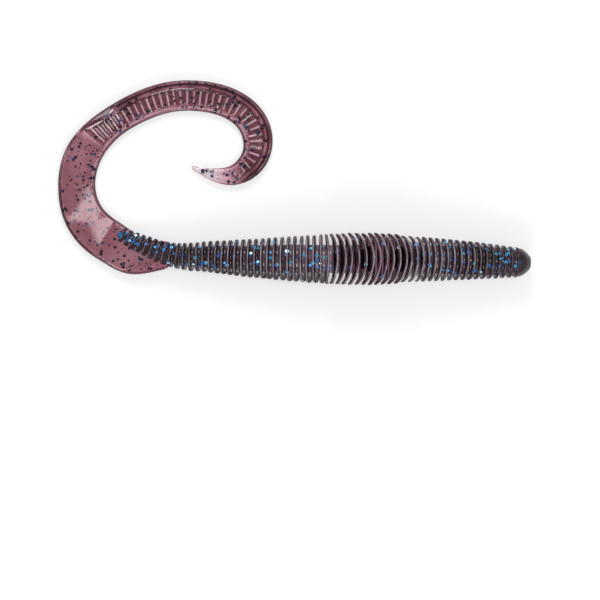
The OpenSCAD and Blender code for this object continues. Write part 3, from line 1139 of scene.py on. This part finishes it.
    def build(self, finish: bpy.types.Material, blue: bpy.types.Material, black: bpy.types.Material) -> None:
        """Builds the skins, root first, and their flakes.

        Args:
            finish: the tail's material.
            blue: the large flakes' material.
            black: the small flakes' material.
        """
        middles = (self.knots[:-1] + self.knots[1:]) / 2
        names = self.chain.bodies[self.first :]
        for j in range(len(names) - 1):
            low = 0.6 if j == 0 else middles[j]
            high = self.line.length if j == len(names) - 2 else middles[j + 1]
            mesh = self.skin(low, high, j == 0, j == len(names) - 2)
            piece = mesh.build(f"skin_{names[j]}-{names[j + 1]}", finish)
            ends = np.array([middles[j], middles[j + 1]])
            v, thick, _ = self.section(ends)
            flat = self.surface(ends, v, thick)
            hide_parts(names[j])
            if j == len(names) - 2:
                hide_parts(names[j + 1])
            dress(piece)
            for kind, material in (("blue", blue), ("black", black)):
                grains = self.flakes(low, high, kind, j)
                bits = grains.build(f"{kind}_flakes_{names[j]}-{names[j + 1]}", material)
                dress(bits)
            log.info("built %s, %d points", piece.name, len(piece.data.vertices))

    def flakes(self, low: float, high: float, kind: str, j: int) -> Mesh:
        """Flakes spread evenly through the thickness between two distances.

        Args:
            low: from here, in mm.
            high: to here, in mm.
            kind: "blue" for the large ones, "black" for the small.
            j: which skin, for the seed.

        Returns:
            The mesh.
        """
        large = kind == "blue"
        rng = np.random.default_rng(SEED + 100 * large + j)
        width = 2 * float(self.half_width(np.array([(low + high) / 2]))[0])
        density = self.blue_per_mm2 if large else self.black_per_mm2
        count = max(3, int((high - low) * width * density))
        s = rng.uniform(low + 0.4, high - (3.0 if high == self.line.length else 0.4), count)
        half = self.half_width(s)
        v = rng.uniform(-1, 1, count) * np.maximum(half - 0.55, 0)
        samples, thick, _ = self.section(s)
        room = np.array([np.interp(a, b, c) for a, b, c in zip(v + self.shift(s), samples, thick)])
        if large:
            size = rng.uniform(0.8, 1.1, count)
        else:
            size = rng.choice([0.34, 0.46, 0.62, 0.95], count, p=[0.3, 0.35, 0.2, 0.15])
        size = np.minimum(size, 1.2 * half)
        w = rng.uniform(-0.75, 0.8, count) * np.maximum(room - 0.1, 0.05)
        centre = self.surface(s, (v + self.shift(s))[:, None], w[:, None])[:, 0]
        normal = rng.normal(0, 0.22, (count, 3)) + [0, 0, 1]
        normal /= np.linalg.norm(normal, axis=1, keepdims=True)
        return flakes_mesh(centre, normal, size, self.flake_t, rng.uniform(0, 6.28, count))


@dataclass
class Softbox:
    """A square area light: where it stands and what it faces in mm, its size, and how bright it
    looks. Its power is that brightness times pi times its area."""

    name: str
    place: tuple[float, float, float]
    aim: tuple[float, float, float]
    size: float
    glow: float

    def build(self) -> None:
        """Makes the light, turned to face its aim."""
        data = bpy.data.lights.new(self.name, "AREA")
        data.shape = "SQUARE"
        data.size = self.size * MM
        data.energy = self.glow * math.pi * data.size**2
        lamp = bpy.data.objects.new(self.name, data)
        bpy.context.scene.collection.objects.link(lamp)
        lamp.location = Vector(self.place) * MM
        line = Vector(self.aim) - Vector(self.place)
        lamp.rotation_mode = "QUATERNION"
        lamp.rotation_quaternion = line.to_track_quat("-Z", "Y")


@dataclass
class Studio:
    """A white table under soft light, seen from straight above."""

    centre: tuple[float, float] = (-63.36, -10.19)
    height: float = 450.0
    span: float = 165.3
    table_z: float = -4.17
    sensor: float = 36.0
    world: float = 0.45
    table_r: float = 3000.0

    def build(self, floor: bpy.types.Material) -> None:
        """Makes the floor, the world, the lights and the camera.

        Args:
            floor: the floor's material.
        """
        self.floor(floor)
        world = bpy.data.worlds.new("studio_white")
        world.use_nodes = True
        sky = world.node_tree.nodes["Background"].inputs
        sky["Color"].default_value = (1, 1, 1, 1)
        sky["Strength"].default_value = self.world
        bpy.context.scene.world = world
        bpy.context.scene.view_settings.view_transform = "Standard"
        for lamp in self.lamps():
            lamp.build()
        data = bpy.data.cameras.new("camera")
        data.sensor_width = self.sensor
        data.lens = self.sensor * self.height / self.span
        data.clip_start = 0.01
        camera = bpy.data.objects.new("camera", data)
        bpy.context.scene.collection.objects.link(camera)
        camera.location = (self.centre[0] * MM, self.centre[1] * MM, self.height * MM)
        bpy.context.scene.camera = camera

    def lamps(self) -> list[Softbox]:
        """The softboxes: one on each side of the body, one over the head, and two small ones
        that gleam on the paddle."""
        return [
            Softbox("side_near", (-70, -300, 210), (-60, 0, 0), 135, 8.0),
            Softbox("side_far", (-80, 300, 230), (-60, 10, 0), 135, 8.0),
            Softbox("head", (30, 10, 440), (-15, 0, 3), 110, 8.0),
            Softbox("paddle_low", (-174, 38, 450), (-118, 12, -3), 26, 7.0),
            Softbox("paddle_high", (-176, 90, 450), (-118, 38, -3), 18, 7.0),
        ]

    def floor(self, material: bpy.types.Material) -> None:
        """Lays the round flat table under the worm.

        Args:
            material: its finish.
        """
        angle = np.arange(64) * 2 * math.pi / 64
        level = np.full(len(angle), self.table_z)
        points = np.stack([self.table_r * np.cos(angle), self.table_r * np.sin(angle), level], axis=-1)
        disc = Mesh(points, [np.arange(len(angle))[None]], round_faces=False).build("floor", material)


def main() -> None:
    """Builds the studio, the body and the tail in order."""
    logging.basicConfig(level=logging.INFO, format="%(name)s: %(message)s")
    Studio().build(StudioFloor().material())
    chain = Chain.read()
    blue, black = FoilFlake().material(), BlackFlake().material()
    body = RingedBody(chain)
    body.build(BodyPlastisol().material(), RimPlastisol().material(), blue)
    RibbonTail(chain, first=len(body.groups)).build(TailPlastisol().material(), blue, black)


if __name__ == "__main__":
    main()
